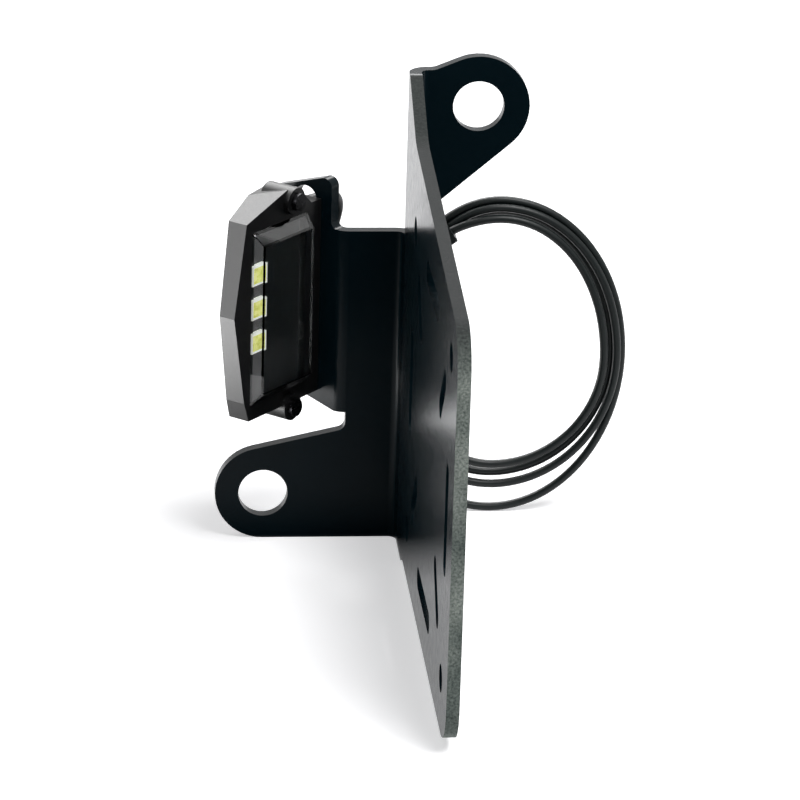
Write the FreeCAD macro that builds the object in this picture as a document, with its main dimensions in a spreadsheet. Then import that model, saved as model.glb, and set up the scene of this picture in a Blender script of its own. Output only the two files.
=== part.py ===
import FreeCAD, Part
import math
import os
import Sketcher

# Side licence plate holder: one folded sheet bracket, an LED plate lamp on its tab and the lamp's coiled lead.
# Millimetres. X runs out through the plate's back, Y away from its free edge, Z up.
# The origin is the middle of the lower bolt hole, on the flange's front face. The bracket is drawn with
# the plate's front face in x = 0, the flange's front face in y = 0 and the foot in z = 0, then moved there.

SIZES = {
    # folded sheet
    "sheet_gauge": 3.0,
    "bend_inside": 2.0,
    "plate_reach": 130.0,
    "plate_foot": 2.2,
    "near_drop": 10.0,
    "near_corner_radius": 10.5,
    "shoulder_reach": 24.0,
    "shoulder_drop": 11.2,
    "shoulder_radius": 15.0,
    "neck_reach": 4.0,
    "neck_radius": 4.0,
    "jog_start": 15.5,
    "jog_run": 4.5,
    "jog_radius": 4.0,
    # flange and lower ear
    "flange_top": 80.2,
    "lower_ear_x": 33.2,
    "lower_ear_radius": 11.9,
    "lower_ear_slope": 13.2,
    "lower_hole_diameter": 12.2,
    "notch_radius": 2.1,
    # upper ear
    "upper_ear_x": 17.2,
    "upper_ear_z": 111.9,
    "upper_ear_radius": 12.4,
    "upper_ear_drop": 26.9,
    "neck_rise": 9.0,
    "upper_ear_slope": 22.0,
    "upper_ear_fillet": 4.0,
    "upper_hole_diameter": 12.4,
    # lamp tab
    "tab_bend_x": 13.2,
    "tab_bend_inside": 1.5,
    "tab_angle": 40.0,
    "tab_neck": 1.95,
    "tab_length": 20.0,
    "tab_rise": 13.2,
    "tab_top_fall": 5.9,
    "tab_foot": 33.2,
    "tab_foot_climb": 5.6,
    "tab_corner_radius": 2.3,
    "tab_fillet": 1.8,
    # openings in the plate: corner holes by their distance from its edges, and slots between them
    "hole_top_margin": 9.4,
    "hole_foot_margin": 12.1,
    "hole_near_margin": 13.5,
    "hole_far_margin": 29.5,
    "corner_hole_diameter": 6.5,
    "slot_width": 5.5,
    "level_slot_length": 25.5,
    "upright_slot_length": 21.0,
    "slant_inset": 11.7,
    "slant_drop": 9.8,
    "slant_run": 7.6,
    "slant_fall": 8.8,
    # lamp housing, in the lamp's own frame: out from the tab, up, and back from the lens
    "lamp_lift": 2.0,
    "lamp_offset": 5.0,
    "lamp_reach": 34.5,
    "lamp_cheek_reach": 30.1,
    "lamp_cheek_rise": 22.7,
    "lamp_crown_reach": 14.1,
    "lamp_crown_rise": 27.5,
    "lamp_crown_fall": 2.4,
    "lamp_brow_reach": 11.0,
    "lamp_brow_rise": 28.1,
    "lamp_nape_reach": 4.0,
    "lamp_nape_rise": 21.9,
    "lamp_chin_reach": 28.2,
    "lamp_chin_drop": 27.8,
    "lamp_root_depth": 12.2,
    "lamp_tip_depth": 4.4,
    "boss_reach": 12.2,
    "upper_boss_rise": 24.5,
    "lower_boss_drop": 28.3,
    "boss_diameter": 6.8,
    "boss_front": 1.5,
    "boss_depth": 7.0,
    "screw_head_diameter": 4.4,
    "screw_head_height": 1.3,
    "screw_shank_diameter": 2.2,
    "screw_length": 6.0,
    # lens, board and light sources
    "lens_inner_reach": 6.0,
    "lens_outer_reach": 27.8,
    "lens_rise": 20.0,
    "lens_drop": 24.0,
    "lens_proud": 3.0,
    "lens_inner_slope": 0.9,
    "lens_outer_slope": 1.4,
    "lens_end_slope": 3.2,
    "lens_wall": 1.0,
    "cavity_depth": 2.8,
    "board_gauge": 1.0,
    "board_clearance": 0.2,
    "led_clearance": 0.3,
    "led_pitch": 8.6,
    "led_size": 5.0,
    "led_height": 1.2,
    # fixings and gland behind the lamp
    "stud_diameter": 5.0,
    "stud_rise": 13.0,
    "stud_back": 6.2,
    "stud_grip": 5.0,
    "stud_tail": 1.2,
    "stud_clearance": 0.5,
    "washer_diameter": 9.0,
    "washer_gauge": 1.0,
    "nut_width": 8.0,
    "nut_height": 4.0,
    "cable_hole_diameter": 6.8,
    "cable_hole_back": 4.8,
    "cable_hole_rise": 20.9,
    "gland_diameter": 3.8,
    "gland_tip_diameter": 3.0,
    "gland_length": 7.0,
    "gland_rise": 19.6,
    # cable
    "cable_diameter": 2.1,
    "lead_straight": 4.0,
    "core_diameter": 0.8,
    "core_pitch": 1.0,
    "core_length": 8.0,
    "coil_x": 58.5,
    "coil_y": 15.4,
    "coil_half_width": 33.0,
    "coil_half_height": 41.9,
    "coil_top_bundle": 6.0,
    "coil_side_bundle": 7.0,
    "coil_foot_bundle": 15.0,
    "coil_width": 5.4,
    "tie_gauge": 0.9,
    "tie_width": 4.0,
    "tie_head": 4.6,
    "tie_turn": 30.0,
    "tie_clearance": 0.1,
}

# Cable route points: steps from the gland's tip, from the middle of the coil, and at last from the floor
# below the origin, where the bare ends lie.
LEAD_FROM_GLAND = [(4.5, 6.1, -2.1), (4.95, 8.3, -5.9), (3.75, 8.6, -10.5)]
LEAD_TO_COIL = [(-40.15, 5.4, 27.5), (-37.55, 4.8, 22.9), (-34.25, 3.7, 18.5), (-32.35, 2.8, 13.1),
                (-31.35, 1.6, 6.9)]
TAIL_FROM_COIL = [(-30.4, -1.1, 0.0), (-30.8, -1.2, -7.5), (-31.3, -1.6, -15.3), (-31.9, -2.4, -23.0),
                  (-33.0, -3.8, -30.3)]
TAIL_ON_FLOOR = [(23.0, 10.4, 5.2), (18.8, 9.8, 1.5), (13.2, 9.6, 1.1)]

doc = FreeCAD.newDocument("side_plate_holder")
dim = doc.addObject("Spreadsheet::Sheet", "dim")
for row, (alias, value) in enumerate(SIZES.items(), start=1):
    dim.set(f"A{row}", alias)
    dim.set(f"B{row}", str(value))
    dim.setAlias(f"B{row}", alias)
doc.recompute()


def number(expression):
    """Value of an expression over the sheet's aliases."""
    value = dim.evalExpression(expression)
    return float(getattr(value, "Value", value))


def new_body(label):
    body = doc.addObject("PartDesign::Body", label)
    body.Label = label
    return body


def new_sketch(body, name, role, offset=None):
    """Sketch on one of the body's origin planes, moved by an optional placement expression."""
    plane = next(item for item in body.Origin.OriginFeatures if item.Role == role)
    sketch = body.newObject("Sketcher::SketchObject", name)
    sketch.AttachmentSupport = [(plane, "")]
    sketch.MapMode = "FlatFace"
    if offset:
        sketch.setExpression("AttachmentOffset", offset)
    return sketch


def pin(sketch, geometry, position, across, upward):
    """Tie a point of the sketch to two expressions measured from its origin."""
    for kind, expression in (("DistanceX", across), ("DistanceY", upward)):
        constraint = Sketcher.Constraint(kind, -1, 1, geometry, position, number(expression))
        index = sketch.addConstraint(constraint)
        sketch.setExpression(f"Constraints[{index}]", expression)


def size_radius(sketch, geometry, expression):
    index = sketch.addConstraint(Sketcher.Constraint("Radius", geometry, number(expression)))
    sketch.setExpression(f"Constraints[{index}]", expression)


def arc_between(start, end, radius, turn):
    """Arc from start to end, turning left for a positive turn, right for a negative one."""
    chord = end - start
    middle = (start + end) * 0.5
    side = FreeCAD.Vector(-chord.y, chord.x, 0).normalize()
    height = math.sqrt(max(radius * radius - chord.Length ** 2 / 4, 0))
    centre = middle + side * (height if abs(turn) == 1 else -height) * math.copysign(1, turn)
    first, last = (start, end) if turn > 0 else (end, start)
    angles = [math.atan2(point.y - centre.y, point.x - centre.x) for point in (first, last)]
    circle = Part.Circle(centre, FreeCAD.Vector(0, 0, 1), radius)
    return Part.ArcOfCircle(circle, angles[0], angles[1])


def draw_outline(sketch, corners):
    """Closed outline. A corner is (across, up), and (across, up, radius, turn) starts an arc;
    a turn of 1 or -1 is an arc under half a circle, 2 or -2 one over it."""
    points = [FreeCAD.Vector(number(corner[0]), number(corner[1]), 0) for corner in corners]
    pieces = []
    for index, corner in enumerate(corners):
        start = points[index]
        end = points[(index + 1) % len(points)]
        if len(corner) == 2:
            geometry = sketch.addGeometry(Part.LineSegment(start, end), False)
            pieces.append((geometry, 1, 2))
        else:
            geometry = sketch.addGeometry(arc_between(start, end, number(corner[2]), corner[3]), False)
            pieces.append((geometry, 1, 2) if corner[3] > 0 else (geometry, 2, 1))
    for index, corner in enumerate(corners):
        geometry, first, last = pieces[index]
        following, next_first, _ = pieces[(index + 1) % len(pieces)]
        sketch.addConstraint(Sketcher.Constraint("Coincident", geometry, last, following, next_first))
        pin(sketch, geometry, first, corner[0], corner[1])
        if len(corner) > 2:
            size_radius(sketch, geometry, corner[2])


def draw_circle(sketch, across, upward, diameter):
    centre = FreeCAD.Vector(number(across), number(upward), 0)
    circle = Part.Circle(centre, FreeCAD.Vector(0, 0, 1), number(diameter) / 2)
    geometry = sketch.addGeometry(circle, False)
    pin(sketch, geometry, 3, across, upward)
    size_radius(sketch, geometry, f"({diameter}) / 2")


def draw_slot(sketch, first, second, width):
    """Round-ended slot between two centres, each a pair of expressions."""
    centres = [FreeCAD.Vector(number(point[0]), number(point[1]), 0) for point in (first, second)]
    radius = number(width) / 2
    run = centres[1] - centres[0]
    heading = math.atan2(run.y, run.x)
    quarter = math.pi / 2
    normal = FreeCAD.Vector(0, 0, 1)
    ends = []
    for centre, start in zip(centres, (heading + quarter, heading - quarter)):
        arc = Part.ArcOfCircle(Part.Circle(centre, normal, radius), start, start + math.pi)
        ends.append(sketch.addGeometry(arc, False))
    side = FreeCAD.Vector(-math.sin(heading), math.cos(heading), 0) * radius
    lower = sketch.addGeometry(Part.LineSegment(centres[0] - side, centres[1] - side), False)
    upper = sketch.addGeometry(Part.LineSegment(centres[1] + side, centres[0] + side), False)
    joins = ((ends[0], 2, lower, 1), (lower, 2, ends[1], 1), (ends[1], 2, upper, 1), (upper, 2, ends[0], 1))
    for join in joins:
        sketch.addConstraint(Sketcher.Constraint("Tangent", *join))
    sketch.addConstraint(Sketcher.Constraint("Equal", ends[0], ends[1]))
    pin(sketch, ends[0], 3, *first)
    pin(sketch, ends[1], 3, *second)
    size_radius(sketch, ends[0], f"({width}) / 2")


def pad(body, sketch, length, backwards=False):
    feature = body.newObject("PartDesign::Pad", sketch.Name + "_pad")
    feature.Profile = sketch
    feature.setExpression("Length", length)
    feature.Reversed = backwards
    doc.recompute()
    return feature


def pocket(body, sketch, length, backwards=False):
    """Cut a sketch into the body to a depth, and make sure that it cuts."""
    before = body.Shape.Volume
    feature = body.newObject("PartDesign::Pocket", sketch.Name + "_pocket")
    feature.Profile = sketch
    feature.Reversed = backwards
    feature.setExpression("Length", length)
    doc.recompute()
    if body.Shape.Volume > before - 1e-3:
        raise RuntimeError(f"{sketch.Name} cuts nothing")
    return feature


def round_corners(body, sketch, corners, radius):
    """Round the edges that stand on the given corners of a padded sketch."""
    base = body.Tip
    along = sketch.Placement.Rotation.multVec(FreeCAD.Vector(0, 0, 1))
    names = []
    for across, upward in corners:
        spot = sketch.Placement.multVec(FreeCAD.Vector(number(across), number(upward), 0))
        for index, edge in enumerate(base.Shape.Edges, start=1):
            ends = [vertex.Point for vertex in edge.Vertexes]
            if len(ends) == 2 and all((end - spot).cross(along).Length < 1e-4 for end in ends):
                names.append(f"Edge{index}")
    if len(names) != len(corners):
        raise RuntimeError(f"{sketch.Name}: {len(names)} edges for {len(corners)} corners")
    feature = body.newObject("PartDesign::Fillet", f"{sketch.Name}_round_{len(body.Group)}")
    feature.Base = (base, names)
    feature.setExpression("Radius", radius)
    doc.recompute()
    return feature


def add_bend(body, name, inside, level, height, corners):
    """Ring sector of a bend, drawn in plan from its four corners and raised from its lower end."""
    sketch = new_sketch(body, name, "XY_Plane", f"placement(vector(0; 0; {level}); rotation(0; 0; 0))")
    outside = f"{inside} + dim.sheet_gauge"
    first, second, third, fourth = corners
    draw_outline(sketch, [first + (inside, 1), second, third + (outside, -1), fourth])
    pad(body, sketch, height)


# Shared expressions of the folded sheet, and the move to the origin in the lower bolt hole. The plate's
# top edge hangs from the upper ear's hole, and the plate's openings from its edges.
GAUGE = "dim.sheet_gauge"
BEND = "dim.bend_inside"
TAB_OUTSIDE = "(dim.tab_bend_inside + dim.sheet_gauge)"
TAB_START_X = f"(-dim.tab_bend_x - {TAB_OUTSIDE} * sin(dim.tab_angle))"
TAB_START_Y = f"({TAB_OUTSIDE} * (1 - cos(dim.tab_angle)))"
NOTCH_X = "(-dim.tab_bend_x - dim.notch_radius)"
EAR_X = "(-dim.lower_ear_x)"
EAR_Z = "dim.lower_ear_radius"
NOTCH_Z = (f"({EAR_Z} + (dim.lower_ear_radius + dim.notch_radius + ({NOTCH_X} - {EAR_X})"
           " * sin(dim.lower_ear_slope)) / cos(dim.lower_ear_slope))")
EAR_TOP = "(dim.upper_ear_z + dim.neck_rise)"
EAR_FOOT = "(dim.upper_ear_z - dim.upper_ear_drop)"
SHOULDER_TOP = f"({EAR_TOP} - dim.shoulder_drop)"
NEAR_TOP = f"({SHOULDER_TOP} - dim.near_drop)"
TAB_TOP = "(dim.flange_top + dim.tab_rise)"
LAMP_Z = f"((dim.tab_foot + {TAB_TOP}) / 2 + dim.lamp_lift)"
HOLE_TOP = f"({NEAR_TOP} - dim.hole_top_margin)"
HOLE_FOOT = "(dim.plate_foot + dim.hole_foot_margin)"
HOLE_NEAR = "(dim.plate_reach - dim.hole_near_margin)"
PATTERN_Z = f"(({HOLE_TOP} + {HOLE_FOOT}) / 2)"
PATTERN_RISE = f"(({HOLE_TOP} - {HOLE_FOOT}) / 2)"
PATTERN_Y = f"(-({HOLE_NEAR} + dim.hole_far_margin) / 2)"
PATTERN_REACH = f"(({HOLE_NEAR} - dim.hole_far_margin) / 2)"
FRAME = "placement(vector(dim.lower_ear_x; 0; -dim.lower_ear_radius); rotation(0; 0; 0))"


def add_plate(body):
    """Upright plate with its jogged foot, rounded free corners and the shoulder up to the ear."""
    sketch = new_sketch(body, "plate_outline", "YZ_Plane")
    jog_low = ("-dim.jog_start", "0")
    jog_high = ("-dim.jog_start - dim.jog_run", "dim.plate_foot")
    near_low = ("-dim.plate_reach", "dim.plate_foot")
    near_high = ("-dim.plate_reach", NEAR_TOP)
    shoulder = ("-dim.shoulder_reach", SHOULDER_TOP)
    neck = ("-dim.neck_reach", EAR_TOP)
    draw_outline(sketch, [(f"-{BEND}", "0"), (f"-{BEND}", EAR_TOP), neck, shoulder,
                          near_high, near_low, jog_high, jog_low])
    pad(body, sketch, GAUGE)
    round_corners(body, sketch, [near_low, near_high], "dim.near_corner_radius")
    round_corners(body, sketch, [shoulder], "dim.shoulder_radius")
    round_corners(body, sketch, [neck], "dim.neck_radius")
    round_corners(body, sketch, [jog_low, jog_high], "dim.jog_radius")


def add_flange(body):
    """Forward bend, then the flange with the lower bolt ear and the notch under the lamp tab."""
    add_bend(body, "flange_bend", BEND, "0", "dim.flange_top", [
        ("0", f"-{BEND}"), (f"-{BEND}", "0"), (f"-{BEND}", GAUGE), (GAUGE, f"-{BEND}")])
    sketch = new_sketch(body, "flange_outline", "XZ_Plane")
    lean = "dim.lower_ear_slope"
    ear_top = (f"{EAR_X} - dim.lower_ear_radius * sin({lean})", f"{EAR_Z} + dim.lower_ear_radius * cos({lean})")
    notch_low = (f"{NOTCH_X} + dim.notch_radius * sin({lean})", f"{NOTCH_Z} - dim.notch_radius * cos({lean})")
    draw_outline(sketch, [
        (f"-{BEND}", "0"),
        (f"-{BEND}", "dim.flange_top"),
        ("-dim.tab_bend_x", "dim.flange_top"),
        ("-dim.tab_bend_x", NOTCH_Z, "dim.notch_radius", -1),
        notch_low,
        ear_top + ("dim.lower_ear_radius", 1),
        (f"{EAR_X} - dim.lower_ear_radius", EAR_Z, "dim.lower_ear_radius", 1),
        (EAR_X, "0"),
    ])
    pad(body, sketch, GAUGE, backwards=True)


def add_tab(body):
    """Lamp tab, bent back from the flange so that the lamp looks across the plate."""
    start = "-dim.tab_bend_x"
    depth = "dim.tab_bend_inside"
    add_bend(body, "tab_bend", depth, "dim.tab_foot", "dim.flange_top - dim.tab_foot", [
        (f"{start} - {depth} * sin(dim.tab_angle)", f"{GAUGE} + {depth} * (1 - cos(dim.tab_angle))"),
        (start, GAUGE), (start, "0"), (TAB_START_X, TAB_START_Y)])
    tab_plane = f"placement(vector({TAB_START_X}; 0; -{TAB_START_Y}); rotation(0; -dim.tab_angle; 0))"
    sketch = new_sketch(body, "tab_outline", "XZ_Plane", tab_plane)
    inner = ("-dim.tab_neck", "dim.flange_top")
    upper_inner = ("-dim.tab_neck", TAB_TOP)
    upper_outer = ("-dim.tab_length", f"{TAB_TOP} - dim.tab_top_fall")
    lower_outer = ("-dim.tab_length", "dim.tab_foot + dim.tab_foot_climb")
    draw_outline(sketch, [("0", "dim.tab_foot"), ("0", "dim.flange_top"), inner, upper_inner,
                          upper_outer, lower_outer])
    pad(body, sketch, GAUGE, backwards=True)
    round_corners(body, sketch, [upper_inner, upper_outer, lower_outer], "dim.tab_corner_radius")
    round_corners(body, sketch, [inner], "dim.tab_fillet")
    holes = new_sketch(body, "tab_holes", "XZ_Plane", tab_plane)
    for side in ("+", "-"):
        draw_circle(holes, "-dim.lamp_offset - dim.stud_back", f"{LAMP_Z} {side} dim.stud_rise",
                    "dim.stud_diameter + dim.stud_clearance")
    draw_circle(holes, "-dim.lamp_offset - dim.cable_hole_back", f"{LAMP_Z} + dim.cable_hole_rise",
                "dim.cable_hole_diameter")
    pocket(body, holes, f"2 * {GAUGE}")


def add_upper_ear(body):
    """Backward bend at the top of the plate with the upper bolt ear."""
    root = f"{GAUGE} + {BEND}"
    add_bend(body, "ear_bend", BEND, EAR_FOOT, f"{EAR_TOP} - {EAR_FOOT}", [
        (root, "0"), (GAUGE, f"-{BEND}"), ("0", f"-{BEND}"), (root, GAUGE)])
    sketch = new_sketch(body, "ear_outline", "XZ_Plane")
    run = "(dim.upper_ear_x - dim.sheet_gauge - dim.bend_inside)"
    rise = "dim.upper_ear_drop"
    lean = f"(atan2({rise}; {run}) - asin(dim.upper_ear_radius / sqrt({run}^2 + {rise}^2)))"
    low = (f"dim.upper_ear_x + dim.upper_ear_radius * sin({lean})",
           f"dim.upper_ear_z - dim.upper_ear_radius * cos({lean})")
    slope = "dim.upper_ear_slope"
    high = (f"dim.upper_ear_x - dim.upper_ear_radius * sin({slope})",
            f"dim.upper_ear_z + dim.upper_ear_radius * cos({slope})")
    dip = (f"{high[0]} - ({high[1]} - {EAR_TOP}) / tan({slope})", EAR_TOP)
    draw_outline(sketch, [
        (root, EAR_FOOT),
        low + ("dim.upper_ear_radius", 1),
        ("dim.upper_ear_x + dim.upper_ear_radius", "dim.upper_ear_z", "dim.upper_ear_radius", 1),
        high,
        dip,
        (root, EAR_TOP),
    ])
    pad(body, sketch, GAUGE, backwards=True)
    round_corners(body, sketch, [dip], "dim.upper_ear_fillet")


def cut_openings(body):
    """Bolt holes in both ears, and the plate's pattern of holes and slots."""
    holes = new_sketch(body, "ear_holes", "XZ_Plane")
    draw_circle(holes, EAR_X, EAR_Z, "dim.lower_hole_diameter")
    draw_circle(holes, "dim.upper_ear_x", "dim.upper_ear_z", "dim.upper_hole_diameter")
    pocket(body, holes, f"2 * {GAUGE}")
    slots = new_sketch(body, "plate_openings", "YZ_Plane")

    def spot(across, upward):
        return f"{PATTERN_Y} + ({across})", f"{PATTERN_Z} + ({upward})"

    half_upright = "dim.upright_slot_length / 2"
    half_level = "dim.level_slot_length / 2"
    for side in ("-", ""):
        draw_slot(slots, spot(f"{side}{PATTERN_REACH}", f"-{half_upright}"),
                  spot(f"{side}{PATTERN_REACH}", half_upright), "dim.slot_width")
        draw_slot(slots, spot(f"-{half_level}", f"{side}{PATTERN_RISE}"),
                  spot(half_level, f"{side}{PATTERN_RISE}"), "dim.slot_width")
        for end in ("-", ""):
            draw_circle(slots, *spot(f"{side}{PATTERN_REACH}", f"{end}{PATTERN_RISE}"), "dim.corner_hole_diameter")
            outer = (f"({PATTERN_REACH} - dim.slant_inset)", f"({PATTERN_RISE} - dim.slant_drop)")
            inner = (f"({outer[0]} - dim.slant_run)", f"({outer[1]} - dim.slant_fall)")
            draw_slot(slots, spot(side + inner[0], end + inner[1]), spot(side + outer[0], end + outer[1]),
                      "dim.slot_width")
    pocket(body, slots, f"2 * {GAUGE}", backwards=True)


# The lamp's own frame: X out from the tab, Y up, Z back from the lens, on the tab's front face.
LAMP_PLACE = (f"{FRAME} * placement(vector({TAB_START_X} - dim.lamp_offset * cos(dim.tab_angle);"
              f" {TAB_START_Y} + dim.lamp_offset * sin(dim.tab_angle); {LAMP_Z});"
              " rotation(-90 - dim.tab_angle; 0; 90))")
CAVITY = [("dim.lens_inner_reach", "-dim.lens_drop"), ("dim.lens_outer_reach", "-dim.lens_drop"),
          ("dim.lens_outer_reach", "dim.lens_rise"), ("dim.lens_inner_reach", "dim.lens_rise")]
BOSSES = [("dim.boss_reach", "dim.upper_boss_rise"), ("dim.boss_reach", "-dim.lower_boss_drop")]
STUDS = [("dim.stud_back", "dim.stud_rise"), ("dim.stud_back", "-dim.stud_rise")]


def lamp_body(label):
    body = new_body(label)
    body.setExpression("Placement", LAMP_PLACE)
    return body


def level(depth):
    """Sketch offset along its own normal."""
    return f"placement(vector(0; 0; {depth}); rotation(0; 0; 0))"


def inset(outline, inner, outer, ends):
    """Four-sided outline with its inner, outer and end sides moved inwards."""
    (left, low), (right, _), (_, high), _ = outline
    left, right = f"{left} + {inner}", f"{right} - ({outer})"
    low, high = f"{low} + {ends}", f"{high} - ({ends})"
    return [(left, low), (right, low), (right, high), (left, high)]


def make_housing():
    """Moulded lamp housing: faceted shell, sloping crown and back, lens cavity and two screw bosses."""
    body = lamp_body("lamp_housing")
    shell = new_sketch(body, "housing_outline", "XY_Plane")
    draw_outline(shell, [
        ("0", "-dim.lamp_chin_drop"),
        ("dim.lamp_chin_reach", "-dim.lamp_chin_drop"),
        ("dim.lamp_cheek_reach", "-dim.lamp_cheek_rise"),
        ("dim.lamp_reach", "0"),
        ("dim.lamp_cheek_reach", "dim.lamp_cheek_rise"),
        ("dim.lamp_crown_reach", "dim.lamp_crown_rise"),
        ("dim.lamp_brow_reach", "dim.lamp_brow_rise"),
        ("dim.lamp_nape_reach", "dim.lamp_nape_rise"),
        ("0", "dim.lamp_nape_rise"),
    ])
    pad(body, shell, "dim.lamp_root_depth")
    crown = new_sketch(body, "housing_crown_slope", "YZ_Plane")
    draw_outline(crown, [("dim.lamp_crown_rise", "0"),
                         ("dim.lamp_crown_rise - dim.lamp_crown_fall", "dim.lamp_root_depth"),
                         ("2 * dim.lamp_brow_rise", "dim.lamp_root_depth"), ("2 * dim.lamp_brow_rise", "0")])
    pocket(body, crown, "dim.lamp_reach", backwards=True)
    bosses = new_sketch(body, "housing_bosses", "XY_Plane", level("-dim.boss_front"))
    for centre in BOSSES:
        draw_circle(bosses, *centre, "dim.boss_diameter")
    pad(body, bosses, "dim.boss_front + dim.boss_depth")
    back = new_sketch(body, "housing_back_slope", "XZ_Plane",
                      level("dim.lamp_chin_drop + dim.boss_diameter"))
    draw_outline(back, [("0", "dim.lamp_root_depth"), ("dim.lamp_reach", "dim.lamp_tip_depth"),
                        ("2 * dim.lamp_reach", "dim.lamp_tip_depth"),
                        ("2 * dim.lamp_reach", "dim.lamp_root_depth")])
    pocket(body, back, "2 * (dim.lamp_chin_drop + dim.boss_diameter)")
    cavity = new_sketch(body, "housing_cavity", "XY_Plane")
    draw_outline(cavity, CAVITY)
    pocket(body, cavity, "dim.cavity_depth", backwards=True)
    pilots = new_sketch(body, "housing_pilots", "XY_Plane", level("-dim.boss_front"))
    for centre in BOSSES:
        draw_circle(pilots, *centre, "dim.screw_shank_diameter")
    pocket(body, pilots, "dim.screw_length", backwards=True)
    seats = new_sketch(body, "housing_stud_seats", "YZ_Plane")
    for back_from_lens, rise in STUDS:
        draw_circle(seats, rise, back_from_lens, "dim.stud_diameter")
    pocket(body, seats, "dim.stud_grip", backwards=True)
    return body


def make_lens():
    """Clear raised lens, a hollow frustum with a plain rim seated on the board's edge."""
    body = lamp_body("lamp_lens")
    rim = new_sketch(body, "lens_rim", "XY_Plane")
    draw_outline(rim, CAVITY)
    pad(body, rim, "dim.cavity_depth - dim.board_gauge")
    wall = "dim.lens_wall"

    def frustum(kind, name, outline, proud):
        low = new_sketch(body, name + "_low", "XY_Plane")
        draw_outline(low, outline)
        high = new_sketch(body, name + "_high", "XY_Plane", level(f"-({proud})"))
        share = f"(({proud}) / dim.lens_proud)"
        draw_outline(high, inset(outline, f"dim.lens_inner_slope * {share}", f"dim.lens_outer_slope * {share}",
                                 f"dim.lens_end_slope * {share}"))
        loft = body.newObject(kind, name)
        loft.Profile = low
        loft.Sections = [high]
        doc.recompute()

    frustum("PartDesign::AdditiveLoft", "lens_dome", CAVITY, "dim.lens_proud")
    bore = inset(CAVITY, wall, wall, wall)
    frustum("PartDesign::SubtractiveLoft", "lens_hollow", bore, f"dim.lens_proud - {wall}")
    opening = new_sketch(body, "lens_opening", "XY_Plane")
    draw_outline(opening, bore)
    pocket(body, opening, "dim.cavity_depth - dim.board_gauge", backwards=True)
    return body


def make_board():
    """Circuit board on the floor of the cavity."""
    body = lamp_body("lamp_board")
    sketch = new_sketch(body, "board_outline", "XY_Plane", level("dim.cavity_depth - dim.board_gauge"))
    gap = "dim.board_clearance"
    draw_outline(sketch, inset(CAVITY, gap, gap, gap))
    pad(body, sketch, "dim.board_gauge")
    return body


def lamp_group(label, pieces):
    """Like pieces in one node, each a primitive with its own expressions in the lamp's frame."""
    group = doc.addObject("Part::Compound", label)
    group.Label = label
    group.Links = pieces
    group.setExpression("Placement", LAMP_PLACE)
    return group


def primitive(kind, name, place, **sizes):
    item = doc.addObject(kind, name)
    item.setExpression("Placement", place)
    for key, expression in sizes.items():
        item.setExpression(key, expression)
    return item


def make_leds():
    """Three square light sources in a row on the board."""
    chips = []
    half = "dim.led_size / 2"
    inner = "dim.lens_outer_reach - dim.lens_wall - dim.led_clearance - dim.led_size"
    front = "dim.cavity_depth - dim.board_gauge - dim.led_height"
    for index, step in enumerate(("-1", "0", "1")):
        place = (f"placement(vector({inner}; {step} * dim.led_pitch - {half}; {front});"
                 " rotation(0; 0; 0))")
        chips.append(primitive("Part::Box", f"led_{index}", place, Length="dim.led_size",
                               Width="dim.led_size", Height="dim.led_height"))
    return lamp_group("leds", chips)


def make_lens_screws():
    """Two pan head screws in the housing's bosses."""
    screws = []
    for index, (reach, rise) in enumerate(BOSSES):
        head = primitive("Part::Cylinder", f"screw_head_{index}",
                         f"placement(vector({reach}; {rise}; -dim.boss_front - dim.screw_head_height);"
                         " rotation(0; 0; 0))",
                         Radius="dim.screw_head_diameter / 2", Height="dim.screw_head_height")
        shank = primitive("Part::Cylinder", f"screw_shank_{index}",
                          f"placement(vector({reach}; {rise}; -dim.boss_front); rotation(0; 0; 0))",
                          Radius="dim.screw_shank_diameter / 2", Height="dim.screw_length")
        screw = doc.addObject("Part::Fuse", f"screw_{index}")
        screw.Base = head
        screw.Tool = shank
        screws.append(screw)
    return lamp_group("lens_screws", screws)


def stud_place(depth, back_from_lens, rise):
    """Placement on a stud's axis, which points back through the tab."""
    return f"placement(vector({depth}; {rise}; {back_from_lens}); rotation(0; -90; 0))"


def make_fixings():
    """Studs moulded into the housing, with washers and nuts behind the tab."""
    studs = []
    washers = []
    nuts = []
    stack = "dim.sheet_gauge + dim.washer_gauge"
    for index, (back_from_lens, rise) in enumerate(STUDS):
        studs.append(primitive("Part::Cylinder", f"stud_{index}",
                               stud_place("dim.stud_grip", back_from_lens, rise),
                               Radius="dim.stud_diameter / 2",
                               Height=f"dim.stud_grip + {stack} + dim.nut_height + dim.stud_tail"))
        disc = primitive("Part::Cylinder", f"washer_disc_{index}",
                         stud_place("-dim.sheet_gauge", back_from_lens, rise),
                         Radius="dim.washer_diameter / 2", Height="dim.washer_gauge")
        bore = primitive("Part::Cylinder", f"washer_bore_{index}",
                         stud_place("-dim.sheet_gauge", back_from_lens, rise),
                         Radius="(dim.stud_diameter + dim.stud_clearance) / 2", Height="dim.washer_gauge")
        hexagon = primitive("Part::Prism", f"nut_hexagon_{index}",
                            stud_place(f"-({stack})", back_from_lens, rise),
                            Circumradius="dim.nut_width / 2 / cos(30)", Height="dim.nut_height")
        thread = primitive("Part::Cylinder", f"nut_thread_{index}",
                           stud_place(f"-({stack})", back_from_lens, rise),
                           Radius="dim.stud_diameter / 2", Height="dim.nut_height")
        for kind, base, tool, pieces in (("washer", disc, bore, washers), ("nut", hexagon, thread, nuts)):
            ring = doc.addObject("Part::Cut", f"{kind}_{index}")
            ring.Base = base
            ring.Tool = tool
            pieces.append(ring)
    return [lamp_group("lamp_studs", studs), lamp_group("lamp_washers", washers), lamp_group("lamp_nuts", nuts)]


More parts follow.
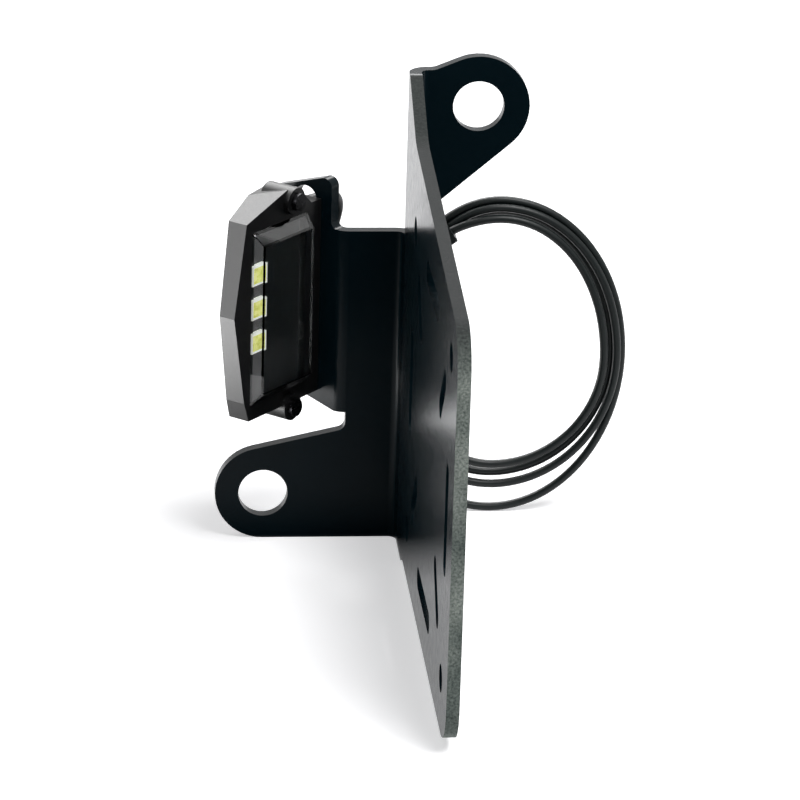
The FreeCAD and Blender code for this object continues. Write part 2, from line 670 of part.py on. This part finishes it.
def make_gland():
    """Tapered rubber gland that carries the cable through the hole in the tab."""
    gland = doc.addObject("Part::Cone", "cable_gland")
    gland.Label = "cable_gland"
    gland.setExpression("Radius1", "dim.gland_diameter / 2")
    gland.setExpression("Radius2", "dim.gland_tip_diameter / 2")
    gland.setExpression("Height", "dim.gland_length")
    gland.setExpression("Placement", LAMP_PLACE + " * " + stud_place("0", "dim.cable_hole_back", "dim.gland_rise"))
    return gland


def cord_tube(label, points, diameter):
    """Round cord along straight runs joined by arcs as large as the runs allow."""
    corners = [FreeCAD.Vector(point) for point in points]
    edges = []
    radii = []
    last = corners[0]
    for before, corner, after in zip(corners, corners[1:], corners[2:]):
        back = (before - corner).normalize()
        ahead = (after - corner).normalize()
        turn = math.pi - back.getAngle(ahead)
        shorter = min((before - corner).Length, (after - corner).Length)
        trim = 0.45 * shorter
        radius = trim / math.tan(turn / 2)
        start = corner + back * trim
        end = corner + ahead * trim
        bisector = (back + ahead).normalize()
        reach = radius / math.cos(turn / 2) - radius
        edges.append(Part.LineSegment(last, start).toShape())
        edges.append(Part.Arc(start, corner + bisector * reach, end).toShape())
        radii.append(round(radius, 1))
        last = end
    edges.append(Part.LineSegment(last, corners[-1]).toShape())
    path = Part.Wire(edges)
    section = Part.Wire(Part.makeCircle(diameter / 2, corners[0], corners[1] - corners[0]))
    tube = path.makePipeShell([section], True, False)
    expected = math.pi * diameter ** 2 / 4 * path.Length
    print(label, "radii", radii, "length", round(path.Length, 1), "volume ratio", round(tube.Volume / expected, 4))
    item = doc.addObject("Part::Feature", label)
    item.Label = label
    item.Shape = tube
    return item


# The coil's own frame, in its middle; it stands on the floor that the bracket's foot stands on.
COIL_PLACE = ("placement(vector(dim.coil_x; dim.coil_y; dim.coil_half_height - dim.lower_ear_radius);"
              " rotation(0; 0; 0))")


def oval_block(name, half_height, half_width, lift):
    """Upright oval prism as thick as the coil."""
    outline = primitive("Part::Ellipse", name + "_outline",
                        f"{COIL_PLACE} * placement(vector(0; -dim.coil_width / 2; {lift}); rotation(90; -90; 0))",
                        MajorRadius=half_height, MinorRadius=half_width)
    block = doc.addObject("Part::Extrusion", name)
    block.Base = outline
    block.DirMode = "Normal"
    block.Solid = True
    block.setExpression("LengthFwd", "dim.coil_width")
    return block


def make_coil():
    """Outer shape of the tied coil: an upright oval ring, narrow at its tie and wide at its foot."""
    coil = doc.addObject("Part::Cut", "cable_coil")
    coil.Label = "cable_coil"
    coil.Base = oval_block("coil_outer", "dim.coil_half_height", "dim.coil_half_width", "0")
    coil.Tool = oval_block("coil_inner",
                           "dim.coil_half_height - (dim.coil_top_bundle + dim.coil_foot_bundle) / 2",
                           "dim.coil_half_width - dim.coil_side_bundle",
                           "(dim.coil_foot_bundle - dim.coil_top_bundle) / 2")
    return coil


def make_tie():
    """Strap round the narrow part of the coil, square to its turns, with its small locking head in front."""
    wall = "dim.tie_gauge"
    gap = "dim.tie_clearance"
    low = f"(-dim.coil_top_bundle - {gap})"
    tall = f"(dim.coil_top_bundle + 2 * {gap})"
    front = "(-dim.coil_width / 2)"
    lean = "atan2(sin(dim.tie_turn) / dim.coil_half_width; cos(dim.tie_turn) / dim.coil_half_height)"
    seat = (f"{COIL_PLACE} * placement(vector(-dim.coil_half_width * sin(dim.tie_turn); 0;"
            f" dim.coil_half_height * cos(dim.tie_turn)); rotation(0; -{lean}; 0))")

    def block(name, across, depth, height, length, width, rise):
        return primitive("Part::Box", name,
                         f"{seat} * placement(vector({across}; {depth}; {height}); rotation(0; 0; 0))",
                         Length=length, Width=width, Height=rise)

    strap = doc.addObject("Part::Fuse", "tie_strap")
    strap.Base = block("tie_band", "-dim.tie_width / 2", f"{front} - {wall}", f"{low} - {wall}",
                       "dim.tie_width", f"dim.coil_width + 2 * {wall}", f"{tall} + 2 * {wall}")
    strap.Tool = block("tie_lock", "-dim.tie_head / 2", f"{front} - {wall} - dim.tie_head / 2", low,
                       "dim.tie_head", "dim.tie_head / 2", "dim.tie_head")
    tie = doc.addObject("Part::Cut", "cable_tie")
    tie.Label = "cable_tie"
    tie.Base = strap
    tie.Tool = block("tie_bore", "-dim.tie_head", front, low, "2 * dim.tie_head", "dim.coil_width", tall)
    return tie


def make_cores(end, heading):
    """Two bare tinned cores at the far end of the cable."""
    diameter = number("dim.core_diameter")
    aside = heading.cross(FreeCAD.Vector(0, 0, 1)).normalize() * number("dim.core_pitch") / 2
    length = number("dim.core_length")
    cores = [Part.makeCylinder(diameter / 2, length, end + aside * side, heading) for side in (-1, 1)]
    item = doc.addObject("Part::Feature", "cable_cores")
    item.Label = "cable_cores"
    item.Shape = Part.makeCompound(cores)
    return item


bracket = new_body("bracket")
add_plate(bracket)
add_flange(bracket)
add_tab(bracket)
add_upper_ear(bracket)
cut_openings(bracket)
bracket.setExpression("Placement", FRAME)
nodes = [bracket, make_housing(), make_lens(), make_board(), make_leds(), make_lens_screws()]
nodes += make_fixings()
gland = make_gland()
coil = make_coil()
doc.recompute()

gland_tip, lead_bend = (gland.Placement.multVec(FreeCAD.Vector(0, 0, number(reach)))
                        for reach in ("dim.gland_length", "dim.gland_length + dim.lead_straight"))
coil_middle = FreeCAD.Vector(number("dim.coil_x"), number("dim.coil_y"),
                             number("dim.coil_half_height - dim.lower_ear_radius"))
floor = FreeCAD.Vector(0, 0, -number("dim.lower_ear_radius"))
lead_route = [gland_tip, lead_bend]
lead_route += [gland_tip + FreeCAD.Vector(*step) for step in LEAD_FROM_GLAND]
lead_route += [coil_middle + FreeCAD.Vector(*step) for step in LEAD_TO_COIL]
tail_route = [coil_middle + FreeCAD.Vector(*step) for step in TAIL_FROM_COIL]
tail_route += [floor + FreeCAD.Vector(*step) for step in TAIL_ON_FLOOR]
for label, route in (("cable_lead", lead_route), ("cable_tail", tail_route)):
    trimmed = doc.addObject("Part::Cut", label)
    trimmed.Label = label
    trimmed.Base = cord_tube(label + "_run", route, number("dim.cable_diameter"))
    trimmed.Tool = coil
    nodes.append(trimmed)
nodes += [gland, coil, make_tie(), make_cores(tail_route[-1], tail_route[-1] - tail_route[-2])]
doc.recompute()

for item in doc.Objects:
    if {"Invalid", "Error"} & set(item.State):
        raise RuntimeError(f"{item.Name} failed: {item.State}")
for node in nodes:
    if node.Shape.isNull() or not node.Shape.isValid():
        raise RuntimeError(f"{node.Label} has no valid shape")

os.makedirs("parts", exist_ok=True)
for node in nodes:
    node.Shape.exportStep(f"parts/{node.Label}.step")
    box = node.Shape.BoundBox
    print(node.Label, len(node.Shape.Solids), round(node.Shape.Volume, 1),
          [round(v, 1) for v in (box.XMin, box.XMax, box.YMin, box.YMax, box.ZMin, box.ZMax)])
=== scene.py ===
import math

import bpy
from mathutils import Matrix, Vector


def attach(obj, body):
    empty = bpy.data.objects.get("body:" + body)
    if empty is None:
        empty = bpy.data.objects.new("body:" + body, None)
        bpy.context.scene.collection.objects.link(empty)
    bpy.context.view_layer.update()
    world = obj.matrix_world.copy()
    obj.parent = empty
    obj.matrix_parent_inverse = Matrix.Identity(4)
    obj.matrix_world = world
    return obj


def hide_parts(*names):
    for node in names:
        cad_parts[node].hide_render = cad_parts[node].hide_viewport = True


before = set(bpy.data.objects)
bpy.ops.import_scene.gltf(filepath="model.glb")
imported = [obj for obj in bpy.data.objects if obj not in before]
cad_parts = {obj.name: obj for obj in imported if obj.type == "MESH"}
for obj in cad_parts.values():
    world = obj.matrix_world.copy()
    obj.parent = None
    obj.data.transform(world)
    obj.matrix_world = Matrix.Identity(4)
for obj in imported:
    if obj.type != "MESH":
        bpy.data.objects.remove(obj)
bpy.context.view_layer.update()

# Measures in metres, in the frame of the lower bolt hole.
FLOOR = -0.0119
CABLE_DIAMETER = 0.0021
COIL_MIDDLE = Vector((0.0585, 0.0154, 0.0300))
LEAD_ROUTE = [
    (0.01410, 0.01271, 0.07300),
    (0.01667, 0.01577, 0.07300),
    (0.01860, 0.01881, 0.07090),
    (0.01905, 0.02101, 0.06710),
    (0.01785, 0.02131, 0.06250),
    (0.01835, 0.02080, 0.05750),
    (0.02095, 0.02020, 0.05290),
    (0.02425, 0.01910, 0.04850),
    (0.02615, 0.01820, 0.04310),
    (0.02715, 0.01700, 0.03690),
]
TAIL_ROUTE = [
    (0.02770, 0.01300, 0.02250),
    (0.02720, 0.01290, 0.01470),
    (0.02660, 0.01260, 0.00700),
    (0.02550, 0.01160, -0.00030),
    (0.02300, 0.01040, -0.00670),
    (0.01880, 0.00980, -0.01040),
    (0.01320, 0.00960, -0.01080),
]
# Half widths and half heights of the coil's turns at each quarter, from the left side down, and their place
# along its axis, in millimetres.
TURN_MARKS = [
    (31.9, 1.4), (40.82, 1.2), (31.95, 1.2), (40.85, 1.2),
    (28.2, 0.6), (33.9, -0.4), (30.6, -0.6), (39.3, -0.2),
    (25.9, 0.6), (31.4, 1.6), (29.2, 1.6), (38.0, 1.6),
    (23.6, 0.6), (28.1, -1.6), (27.2, -1.6), (36.9, -1.6),
    (30.4, -2.4),
]
STEPS_PER_QUARTER = 4
# How far each end's extra point lies inside it, as a share of the way to the next point.
END_SHARE = 0.02

# The plate stands before this depth, and all its slots lie in one field, given by depth and height.
PLATE_BACK = -0.004
FIELD_MIDDLE = (-0.073, 0.0404)
FIELD_REACH = (0.051, 0.0435)

# The light sources: height of the lowest one's middle, pitch upwards, direction across, place of the middle
# in that direction, and half the phosphor's width.
SOURCE_HEIGHT = 0.0448
SOURCE_PITCH = 0.0086
SOURCE_ACROSS = (0.644, 0.766)
SOURCE_MIDDLE = -0.01217
PHOSPHOR_REACH = 0.002


def coil_points():
    """Control points of the coil's oval turns; they stand out a little, as the curve runs inside them."""
    points = []
    spread = 1 / math.cos(math.pi / 4 / STEPS_PER_QUARTER)
    for quarter, (near, far) in enumerate(zip(TURN_MARKS, TURN_MARKS[1:])):
        across, upward = (near[0], far[0]) if quarter % 2 == 0 else (far[0], near[0])
        for step in range(STEPS_PER_QUARTER):
            share = step / STEPS_PER_QUARTER
            angle = math.pi + (quarter + share) * math.pi / 2
            aside = near[1] + (far[1] - near[1]) * (1 - math.cos(math.pi * share)) / 2
            place = Vector((across * spread * math.cos(angle), aside, upward * spread * math.sin(angle)))
            points.append(COIL_MIDDLE + place / 1000)
    points.append(COIL_MIDDLE + Vector((-TURN_MARKS[-1][0], TURN_MARKS[-1][1], 0)) / 1000)
    return points


def straight_ends(route):
    """Set a point close inside each end, so that the cable leaves the gland and ends straight."""
    first = route[0].lerp(route[1], END_SHARE)
    last = route[-1].lerp(route[-2], END_SHARE)
    return [route[0], first] + route[1:-1] + [last, route[-1]]


def make_cable():
    curve = bpy.data.curves.new("lamp_cable", "CURVE")
    curve.dimensions = "3D"
    lead = [Vector(point) for point in LEAD_ROUTE]
    tail = [Vector(point) for point in TAIL_ROUTE]
    route = straight_ends(lead + coil_points() + tail)
    spline = curve.splines.new("NURBS")
    spline.points.add(len(route) - 1)
    for point, place in zip(spline.points, route):
        point.co = (*place, 1)
    spline.order_u = 3
    spline.use_endpoint_u = True
    spline.resolution_u = 6
    curve.bevel_depth = CABLE_DIAMETER / 2
    curve.bevel_resolution = 4
    curve.use_fill_caps = True
    cable = bpy.data.objects.new("lamp_cable", curve)
    bpy.context.collection.objects.link(cable)
    return cable


# Parts of materials

def new_material(name, **sockets):
    """Material with constants on its shader's sockets, whose names have _ for a space."""
    material = bpy.data.materials.new(name)
    material.use_nodes = True
    nodes = material.node_tree.nodes
    shader = nodes["Principled BSDF"]
    for socket, value in sockets.items():
        shader.inputs[socket.replace("_", " ")].default_value = value
    return material, nodes, material.node_tree.links, shader


def feed(links, socket, value):
    """Give a socket its value, from another socket or as a constant."""
    if isinstance(value, bpy.types.NodeSocket):
        links.new(value, socket)
    else:
        socket.default_value = value


def own_place(nodes, links):
    """The object's own coordinates, in metres, one by one."""
    place = nodes.new("ShaderNodeTexCoord")
    spot = nodes.new("ShaderNodeSeparateXYZ")
    links.new(place.outputs["Object"], spot.inputs[0])
    return spot.outputs


def noise(nodes, links, scale, detail):
    """Noise over the object's own coordinates."""
    place = nodes.new("ShaderNodeTexCoord")
    texture = nodes.new("ShaderNodeTexNoise")
    texture.inputs["Scale"].default_value = scale
    texture.inputs["Detail"].default_value = detail
    links.new(place.outputs["Object"], texture.inputs["Vector"])
    return texture.outputs["Fac"]


def spread_values(nodes, links, source, low, high):
    """Map the middle range of a noise to a span of values."""
    span = nodes.new("ShaderNodeMapRange")
    span.inputs["From Min"].default_value = 0.3
    span.inputs["From Max"].default_value = 0.7
    span.inputs["To Min"].default_value = low
    span.inputs["To Max"].default_value = high
    links.new(source, span.inputs["Value"])
    return span.outputs["Result"]


def calculate(nodes, links, operation, first, second=0.0):
    """One step of arithmetic on two values, each a socket or a constant."""
    step = nodes.new("ShaderNodeMath")
    step.operation = operation
    feed(links, step.inputs[0], first)
    feed(links, step.inputs[1], second)
    return step.outputs[0]


def distance_from(nodes, links, value, middle):
    return calculate(nodes, links, "ABSOLUTE", calculate(nodes, links, "SUBTRACT", value, middle))


def mix_values(nodes, links, factor, first, second, kind="FLOAT"):
    """Blend of two values or colours, each a socket or a constant."""
    blend = nodes.new("ShaderNodeMix")
    blend.data_type = kind
    links.new(factor, blend.inputs["Factor"])
    feed(links, blend.inputs["A"], first)
    feed(links, blend.inputs["B"], second)
    return blend.outputs["Result"]


def mix_colours(nodes, links, factor, first, second):
    return mix_values(nodes, links, factor, (*first, 1), (*second, 1), "RGBA")


def add_bump(nodes, links, shader, height, strength, distance):
    bump = nodes.new("ShaderNodeBump")
    feed(links, bump.inputs["Strength"], strength)
    bump.inputs["Distance"].default_value = distance
    links.new(height, bump.inputs["Height"])
    links.new(bump.outputs["Normal"], shader.inputs["Normal"])


def cut_edge(nodes, links):
    """One on the plate's outer cut edges, and how far they face upwards."""
    spot = own_place(nodes, links)
    surface = nodes.new("ShaderNodeNewGeometry")
    facing = nodes.new("ShaderNodeSeparateXYZ")
    links.new(surface.outputs["True Normal"], facing.inputs[0])
    on_plate = calculate(nodes, links, "LESS_THAN", spot["Y"], PLATE_BACK)
    aside = calculate(nodes, links, "ABSOLUTE", facing.outputs["X"])
    on_edge = calculate(nodes, links, "LESS_THAN", aside, 0.5)
    along = distance_from(nodes, links, spot["Y"], FIELD_MIDDLE[0])
    above = distance_from(nodes, links, spot["Z"], FIELD_MIDDLE[1])
    past_end = calculate(nodes, links, "GREATER_THAN", along, FIELD_REACH[0])
    past_top = calculate(nodes, links, "GREATER_THAN", above, FIELD_REACH[1])
    past_slots = calculate(nodes, links, "MAXIMUM", past_end, past_top)
    edge = calculate(nodes, links, "MULTIPLY", on_plate, on_edge)
    return calculate(nodes, links, "MULTIPLY", edge, past_slots), facing.outputs["Z"]


# Materials

def powder_coat():
    """Satin black powder coat: faint orange peel on faces, a paler coarse grain on the plate's cut edges,
    and painted light there: front-facing edges painted paler than upward-facing ones.
    """
    material, nodes, links, shader = new_material("powder_coat", Specular_IOR_Level=0.09)
    edge, upward = cut_edge(nodes, links)
    grain = noise(nodes, links, 1700, 4)
    peel = noise(nodes, links, 420, 2)
    smooth = spread_values(nodes, links, peel, 0.2, 0.25)
    rough = spread_values(nodes, links, grain, 0.65, 0.85)
    links.new(mix_values(nodes, links, edge, smooth, rough), shader.inputs["Roughness"])
    add_bump(nodes, links, shader, grain, mix_values(nodes, links, edge, 0.02, 0.7), 0.0001)
    speckle = spread_values(nodes, links, grain, 0.0, 1.0)
    patch = spread_values(nodes, links, noise(nodes, links, 70, 2), 0.0, 1.0)
    dim = mix_colours(nodes, links, speckle, (0.025, 0.034, 0.031), (0.09, 0.108, 0.1))
    pale = mix_colours(nodes, links, speckle, (0.07, 0.083, 0.077), (0.24, 0.265, 0.24))
    front = mix_values(nodes, links, patch, dim, pale, "RGBA")
    # Painted light: cut edges facing the front get paler tones and edges facing upwards darker ones, for how
    # the light falls on them.
    top = mix_colours(nodes, links, speckle, (0.005, 0.006, 0.0065), (0.022, 0.025, 0.025))
    edge_painted_light = mix_values(nodes, links, upward, front, top, "RGBA")
    coat = mix_values(nodes, links, edge, (0.0012, 0.0055, 0.008, 1), edge_painted_light, "RGBA")
    links.new(coat, shader.inputs["Base Color"])
    return material


def moulded_plastic():
    """Black moulded plastic with a faint texture."""
    material, nodes, links, shader = new_material("moulded_plastic", Base_Color=(0.0015, 0.0016, 0.0019, 1),
                                                  Specular_IOR_Level=0.42)
    grain = noise(nodes, links, 2600, 2)
    links.new(spread_values(nodes, links, grain, 0.4, 0.5), shader.inputs["Roughness"])
    add_bump(nodes, links, shader, grain, 0.12, 0.00003)
    return material


def clear_plastic():
    """Clear lens, a touch milky in places."""
    material, nodes, links, shader = new_material("clear_plastic", Roughness=0.0, IOR=1.49,
                                                  Transmission_Weight=1.0)
    haze = noise(nodes, links, 300, 2)
    tone = mix_colours(nodes, links, haze, (0.95, 0.965, 0.965), (0.99, 0.995, 0.995))
    links.new(tone, shader.inputs["Base Color"])
    return material


def board_mask():
    """Black solder mask of the lamp's board."""
    material, nodes, links, shader = new_material("board_mask", Roughness=0.45)
    grain = noise(nodes, links, 700, 3)
    tone = mix_colours(nodes, links, grain, (0.006, 0.008, 0.008), (0.02, 0.022, 0.022))
    links.new(tone, shader.inputs["Base Color"])
    return material


def led_painted_glow():
    """Unlit white light source: a yellow phosphor in a pale frame, measured from the middle of each source,
    with a faint painted glow from its emission.
    """
    material, nodes, links, shader = new_material("led_painted_glow", Roughness=0.4, Emission_Strength=0.4)
    patch = spread_values(nodes, links, noise(nodes, links, 700, 2), 0.0, 1.0)
    phosphor = mix_colours(nodes, links, patch, (0.55, 0.56, 0.03), (0.85, 0.86, 0.3))
    spot = own_place(nodes, links)
    above = calculate(nodes, links, "SUBTRACT", spot["Z"], SOURCE_HEIGHT)
    upward = calculate(nodes, links, "PINGPONG", above, SOURCE_PITCH / 2)
    along_x = calculate(nodes, links, "MULTIPLY", spot["X"], SOURCE_ACROSS[0])
    along_y = calculate(nodes, links, "MULTIPLY", spot["Y"], SOURCE_ACROSS[1])
    along = calculate(nodes, links, "ADD", along_x, along_y)
    across = distance_from(nodes, links, along, SOURCE_MIDDLE)
    reach = calculate(nodes, links, "MAXIMUM", upward, across)
    rim = calculate(nodes, links, "GREATER_THAN", reach, PHOSPHOR_REACH)
    tone = mix_values(nodes, links, rim, phosphor, (0.9, 0.92, 0.84, 1), "RGBA")
    links.new(tone, shader.inputs["Base Color"])
    # Painted glow: the unlit sources shine faintly through their emission.
    links.new(tone, shader.inputs["Emission Color"])
    return material


def grained_metal(name, colour, scale, detail, low, high):
    """Metal whose roughness varies between two values with a fine grain."""
    material, nodes, links, shader = new_material(name, Base_Color=(*colour, 1), Metallic=1.0)
    grain = noise(nodes, links, scale, detail)
    links.new(spread_values(nodes, links, grain, low, high), shader.inputs["Roughness"])
    return material


def plated_steel(name, colour):
    return grained_metal(name, colour, 1500, 3, 0.22, 0.42)


def black_sheath(name, low, high):
    """Soft black sheath of the cable, gland and strap."""
    material, nodes, links, shader = new_material(name, Base_Color=(0.002, 0.0045, 0.0045, 1),
                                                  Specular_IOR_Level=0.25)
    grain = noise(nodes, links, 1200, 3)
    links.new(spread_values(nodes, links, grain, low, high), shader.inputs["Roughness"])
    add_bump(nodes, links, shader, grain, 0.1, 0.00004)
    return material


steel = plated_steel("plated_steel", (0.35, 0.35, 0.36))
sheath = black_sheath("cable_sheath", 0.34, 0.48)
finishes = {
    "bracket": powder_coat(),
    "lamp_housing": moulded_plastic(),
    "lamp_lens": clear_plastic(),
    "lamp_board": board_mask(),
    "leds": led_painted_glow(),
    "lens_screws": plated_steel("blackened_steel", (0.02, 0.02, 0.022)),
    "lamp_studs": steel,
    "lamp_washers": steel,
    "lamp_nuts": steel,
    "cable_gland": sheath,
    "cable_tie": black_sheath("strap_nylon", 0.3, 0.42),
    "cable_cores": grained_metal("tinned_wire", (0.7, 0.69, 0.66), 2500, 2, 0.25, 0.4),
}
for node, finish in finishes.items():
    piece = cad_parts[node]
    piece.data.materials.clear()
    piece.data.materials.append(finish)

cable = make_cable()
cable.data.materials.append(sheath)
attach(cable, "root")
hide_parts("cable_lead", "cable_coil", "cable_tail")


# Stage, light and camera

def seen_white(nodes, links):
    """One for the rays that show the background: from the camera, in gloss and through clear plastic."""
    path = nodes.new("ShaderNodeLightPath").outputs
    direct = calculate(nodes, links, "MAXIMUM", path["Is Camera Ray"], path["Is Glossy Ray"])
    return calculate(nodes, links, "MAXIMUM", direct, path["Is Transmission Ray"])


def make_sheet(name, sides, front, back, height):
    """Flat level sheet, between two sides and two depths."""
    mesh = bpy.data.meshes.new(name)
    left, right = sides
    corners = [(left, front, height), (right, front, height), (right, back, height), (left, back, height)]
    mesh.from_pydata(corners, [], [(0, 1, 2, 3)])
    sheet = bpy.data.objects.new(name, mesh)
    bpy.context.collection.objects.link(sheet)
    return sheet


def make_floor():
    """White paper that is lifted to pure white, and keeps the part's shadow."""
    floor = make_sheet("floor", (-6, 6), -6, 6, FLOOR)
    material = bpy.data.materials.new("floor")
    material.use_nodes = True
    nodes, links = material.node_tree.nodes, material.node_tree.links
    nodes.remove(nodes["Principled BSDF"])
    paper = nodes.new("ShaderNodeBsdfDiffuse")
    paper.inputs["Color"].default_value = (0.85, 0.85, 0.86, 1)
    lift = nodes.new("ShaderNodeEmission")
    links.new(seen_white(nodes, links), lift.inputs["Strength"])
    lift.inputs["Color"].default_value = (0.46, 0.46, 0.465, 1)
    both = nodes.new("ShaderNodeAddShader")
    links.new(paper.outputs[0], both.inputs[0])
    links.new(lift.outputs[0], both.inputs[1])
    links.new(both.outputs[0], nodes["Material Output"].inputs["Surface"])
    floor.data.materials.append(material)


def make_card(name, sides, front, back, fade):
    """Dark card just over the floor, only seen in the part's gloss, that fades in from its front edge."""
    card = make_sheet(name, sides, front, back, FLOOR + 0.0005)
    material, nodes, links, shader = new_material(name, Base_Color=(0.002, 0.002, 0.002, 1),
                                                  Specular_IOR_Level=0.0)
    cover = nodes.new("ShaderNodeMapRange")
    cover.inputs["From Min"].default_value = front
    cover.inputs["From Max"].default_value = front + fade
    links.new(own_place(nodes, links)["Y"], cover.inputs["Value"])
    links.new(cover.outputs["Result"], shader.inputs["Alpha"])
    card.data.materials.append(material)
    card.visible_camera = False
    card.visible_diffuse = False
    card.visible_transmission = False
    card.visible_shadow = False


def make_world():
    """White surroundings, dimmer as a light on the part and the floor than as seen."""
    world = bpy.context.scene.world or bpy.data.worlds.new("studio")
    bpy.context.scene.world = world
    world.use_nodes = True
    nodes, links = world.node_tree.nodes, world.node_tree.links
    background = nodes["Background"]
    background.inputs["Color"].default_value = (1, 1, 1, 1)
    level = nodes.new("ShaderNodeMapRange")
    level.inputs["To Min"].default_value = 0.38
    level.inputs["To Max"].default_value = 1.0
    links.new(seen_white(nodes, links), level.inputs["Value"])
    links.new(level.outputs["Result"], background.inputs["Strength"])


def make_lamp(name, kind, aim, power):
    """Light that shines along a direction."""
    lamp = bpy.data.lights.new(name, kind)
    lamp.energy = power
    light = bpy.data.objects.new(name, lamp)
    light.rotation_mode = "QUATERNION"
    light.rotation_quaternion = Vector(aim).to_track_quat("-Z", "Y")
    bpy.context.collection.objects.link(light)
    return light


def make_panel(name, place, aim, width, height, power):
    """Soft box that only shows as gloss on the part."""
    light = make_lamp(name, "AREA", aim, power)
    light.data.shape = "RECTANGLE"
    light.data.size = width
    light.data.size_y = height
    light.location = place
    light.visible_diffuse = False
    light.visible_camera = False
    light.visible_transmission = False


def make_lights():
    key = make_lamp("key", "SUN", (-0.34, 0.36, -1), 3.6)
    key.data.angle = math.radians(32)
    make_panel("side_panel", (-0.95, -0.30, 0.12), (1, 0.3, -0.05), 0.5, 0.7, 10)
    make_panel("top_panel", (-0.1, 0.75, 0.85), (0.1, -0.75, -0.8), 1.2, 0.6, 26)
    make_panel("floor_panel", (-0.17, 0.03, FLOOR + 0.001), (0, 0, 1), 0.2, 0.2, 1.7)


def make_camera():
    """Camera of the photograph: nearly edge-on to the plate, from above, with a slight roll."""
    turn = math.radians(5.48)
    tilt = math.radians(20.7)
    roll = math.radians(1.69)
    aim = Vector((0.03347, 0, 0.02447))
    distance = 1.0343
    forward = Vector((math.sin(turn) * math.cos(tilt), math.cos(turn) * math.cos(tilt), -math.sin(tilt)))
    level = Vector((math.cos(turn), -math.sin(turn), 0))
    rise = Vector((math.sin(turn) * math.sin(tilt), math.cos(turn) * math.sin(tilt), math.cos(tilt)))
    right = level * math.cos(roll) + rise * math.sin(roll)
    up = rise * math.cos(roll) - level * math.sin(roll)
    lens = bpy.data.cameras.new("camera")
    lens.lens = 188.685
    lens.sensor_width = 36
    lens.clip_end = 20
    camera = bpy.data.objects.new("camera", lens)
    place = Matrix((right, up, -forward)).transposed().to_4x4()
    place.translation = aim - forward * distance
    camera.matrix_world = place
    bpy.context.collection.objects.link(camera)
    bpy.context.scene.camera = camera


make_floor()
make_card("front_card", (-1.5, 1.5), -2.5, -0.135, 0.1)
make_card("foot_card", (-0.2, 0.033), -0.032, 0.0, 0.03)
make_world()
make_lights()
make_camera()
bpy.context.scene.view_settings.view_transform = "Standard"
